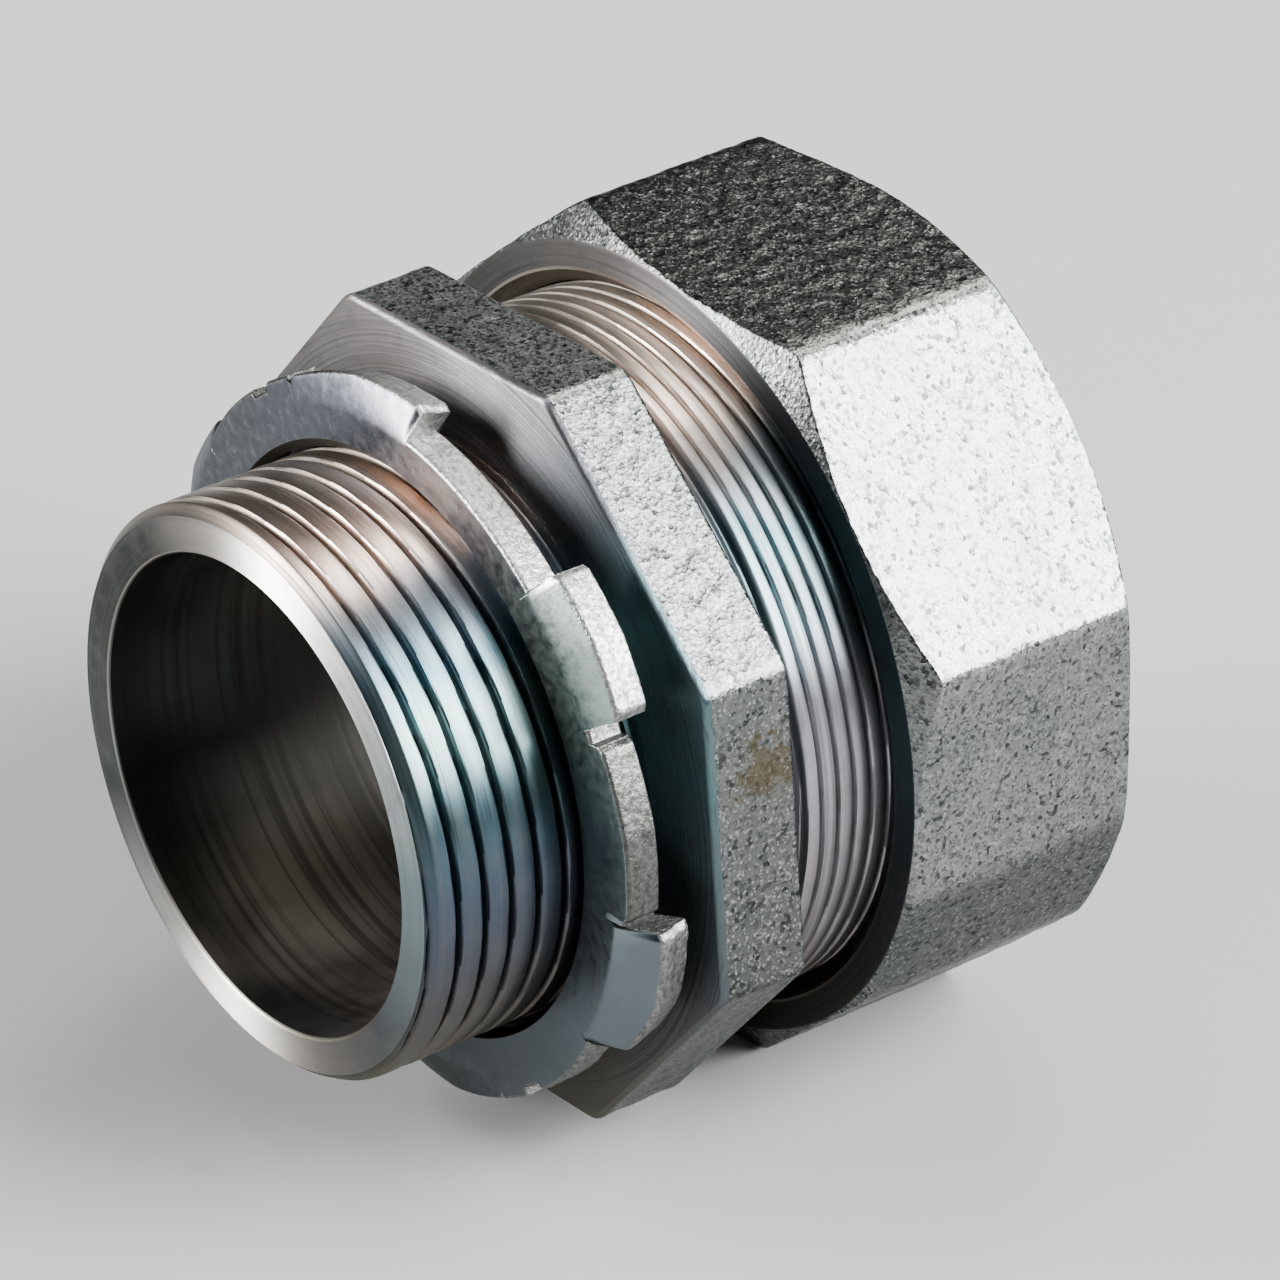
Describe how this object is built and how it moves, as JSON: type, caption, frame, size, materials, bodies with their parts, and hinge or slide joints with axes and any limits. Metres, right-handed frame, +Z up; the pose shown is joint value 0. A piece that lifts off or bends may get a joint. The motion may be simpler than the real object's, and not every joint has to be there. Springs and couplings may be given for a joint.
{
  "type": "threadless conduit compression connector",
  "caption": "Box connector for unthreaded rigid conduit: threaded nose with locknut, octagonal flange, and a gland nut that squeezes a split ring on to the pipe.",
  "frame": {"origin": "on the connector's axis, in the plane of the flange's front face, which seats on the box wall", "axes": "+Y along the axis from the threaded nose to the gland nut, +Z up, square to one flat of the gland nut as it rests"},
  "size_m": [0.059, 0.0553, 0.059],
  "materials": {
    "plated_iron": "zinc plated, rough cast outside and bright where it is turned",
    "plated_steel": "zinc plated and passivated, bright"
  },
  "bodies": {
    "connector": {"connector_body": "plated_iron"},
    "locknut": {"locknut": "plated_steel"},
    "ring": {"compression_ring": "plated_steel"},
    "gland_nut": {"compression_nut": "plated_iron"}
  },
  "joints": [
    {"name": "locknut_turn", "type": "hinge", "parent": "connector", "child": "locknut", "pos_m": [0, 0, 0], "axis": [0, 1, 0], "range_deg": [-1980, 180]},
    {"name": "ring_travel", "type": "slide", "parent": "connector", "child": "ring", "axis": [0, 1, 0], "range_m": [-0.00353, 0.00988]},
    {"name": "gland_nut_turn", "type": "hinge", "parent": "ring", "child": "gland_nut", "pos_m": [0, 0.026, 0], "axis": [0, 1, 0], "range_deg": [-900, 2520]}
  ],
  "couplings": [
    {"joint": "ring_travel", "follows": "gland_nut_turn", "m_per_rad": 0.00022459}
  ]
}
